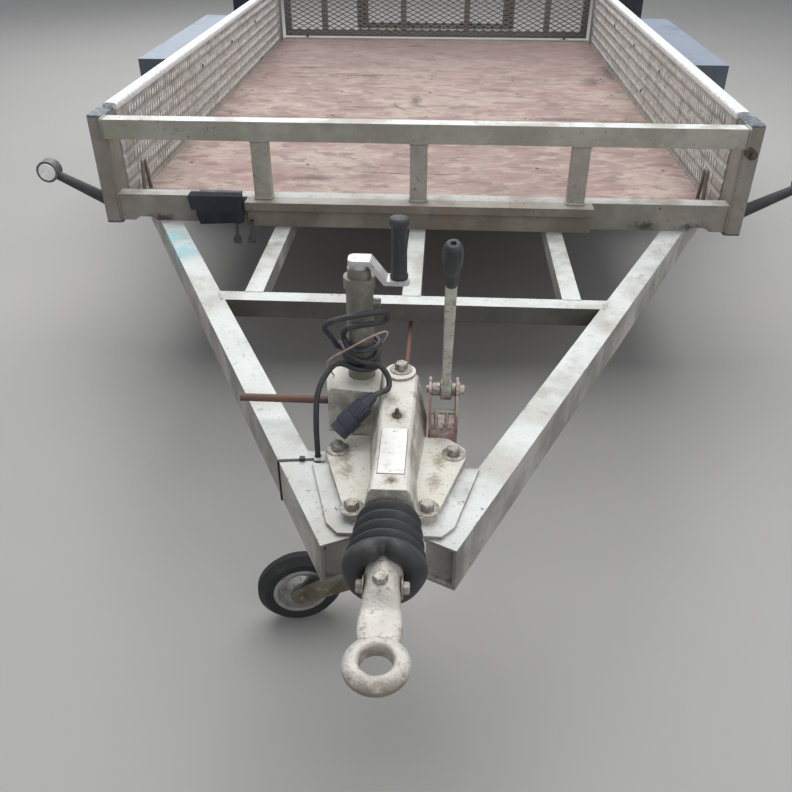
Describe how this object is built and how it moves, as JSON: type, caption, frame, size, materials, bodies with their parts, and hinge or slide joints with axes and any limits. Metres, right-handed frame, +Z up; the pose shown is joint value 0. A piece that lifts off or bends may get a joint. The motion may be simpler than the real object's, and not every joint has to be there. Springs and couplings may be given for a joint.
{
  "type": "equipment trailer",
  "caption": "Single-axle equipment trailer with a timber deck, side walls, an upright mesh ramp, an A-frame drawbar, an overrun coupling with a tow eye and a jockey wheel.",
  "frame": {"origin": "on the ground under the middle of the whole trailer", "axes": "+Z up, the drawbar and tow eye towards -Y, the ramp towards +Y, +X to the trailer's own left"},
  "size_m": [2.02, 3.925, 1.728],
  "materials": {
    "galvanised": "weathered galvanised",
    "wall_alloy": "weathered, satin",
    "plywood": "worn to the ply",
    "cast_metal": "galvanised casting",
    "worn_paint": "faded and chipped",
    "plated_steel": "dull plating",
    "rusty_steel": "rusted",
    "soft_rubber": "matt",
    "black_plastic": "matt",
    "clear_lens": "gloss",
    "red_lens": "gloss",
    "tyre_rubber": "matt",
    "rim_silver": "satin",
    "hub_iron": "rough",
    "slate_paint": "satin",
    "ramp_steel": "weathered galvanised",
    "cord_rubber": "satin",
    "bare_wire": "tarnished"
  },
  "bodies": {
    "trailer": {"axle_arms": "galvanised", "axle_beam": "galvanised", "bellows": "soft_rubber", "brake_bracket": "worn_paint", "brake_grip": "black_plastic", "brake_lever": "plated_steel", "brake_rod": "rusty_steel", "breakaway_wire": "bare_wire", "chassis_rails": "galvanised", "cord_coil": "cord_rubber", "cord_lead": "cord_rubber", "cord_loop": "cord_rubber", "cord_plug": "black_plastic", "cord_tail": "cord_rubber", "coupling_housing": "cast_metal", "cross_bearers": "galvanised", "deck_stringers": "galvanised", "drawbar_crossmember": "galvanised", "drawbar_plates": "galvanised", "drawbar_rails": "galvanised", "floor_sheets": "plywood", "front_bottom_rail": "galvanised", "front_channel": "galvanised", "front_posts": "galvanised", "front_top_rail": "galvanised", "front_uprights": "galvanised", "jockey_clamp_rod": "rusty_steel", "jockey_crank": "plated_steel", "jockey_grip": "black_plastic", "jockey_mast": "plated_steel", "lashing_points": "galvanised", "marker_arms": "soft_rubber", "marker_housings": "black_plastic", "marker_lenses": "clear_lens", "moulded_box": "black_plastic", "mudguards": "slate_paint", "post_caps": "black_plastic", "ramp_hinges": "galvanised", "rear_lamps": "black_plastic", "rear_lenses": "red_lens", "rear_posts": "galvanised", "rear_sill": "galvanised", "side_sills": "galvanised", "side_wall_left": "wall_alloy", "side_wall_right": "wall_alloy", "tow_eye": "cast_metal"},
    "wheel_left": {"hub_left": "hub_iron", "rim_left": "rim_silver", "tyre_left": "tyre_rubber"},
    "wheel_right": {"hub_right": "hub_iron", "rim_right": "rim_silver", "tyre_right": "tyre_rubber"},
    "jockey_leg": {"jockey_tube": "plated_steel"},
    "jockey_castor": {"jockey_fork": "plated_steel"},
    "jockey_wheel": {"jockey_rim": "rim_silver", "jockey_tyre": "tyre_rubber"},
    "ramp": {"ramp_frame": "ramp_steel", "ramp_mesh": "ramp_steel"},
    "ramp_prop": {"ramp_legs": "ramp_steel"}
  },
  "joints": [
    {"name": "wheel_left_spin", "type": "hinge", "parent": "trailer", "child": "wheel_left", "pos_m": [0.915, 0.8995, 0.29], "axis": [1, 0, 0], "continuous": true},
    {"name": "wheel_right_spin", "type": "hinge", "parent": "trailer", "child": "wheel_right", "pos_m": [-0.915, 0.8995, 0.29], "axis": [1, 0, 0], "continuous": true},
    {"name": "jockey_lift", "type": "slide", "parent": "trailer", "child": "jockey_leg", "axis": [0, 0, 1], "range_m": [-0.08, 0.15]},
    {"name": "jockey_swivel", "type": "hinge", "parent": "jockey_leg", "child": "jockey_castor", "pos_m": [-0.062, -1.4085, 0.08], "axis": [0, 0, 1], "continuous": true},
    {"name": "jockey_spin", "type": "hinge", "parent": "jockey_castor", "child": "jockey_wheel", "pos_m": [-0.1866, -1.44189, 0.08], "axis": [-0.2588, 0.9659, 0], "continuous": true},
    {"name": "ramp_hinge", "type": "hinge", "parent": "trailer", "child": "ramp", "pos_m": [0, 1.9255, 0.455], "axis": [-1, 0, 0], "range_deg": [0, 110]},
    {"name": "ramp_prop_swing", "type": "hinge", "parent": "ramp", "child": "ramp_prop", "pos_m": [0, 1.95, 0.815], "axis": [1, 0, 0], "range_deg": [0, 110]}
  ]
}
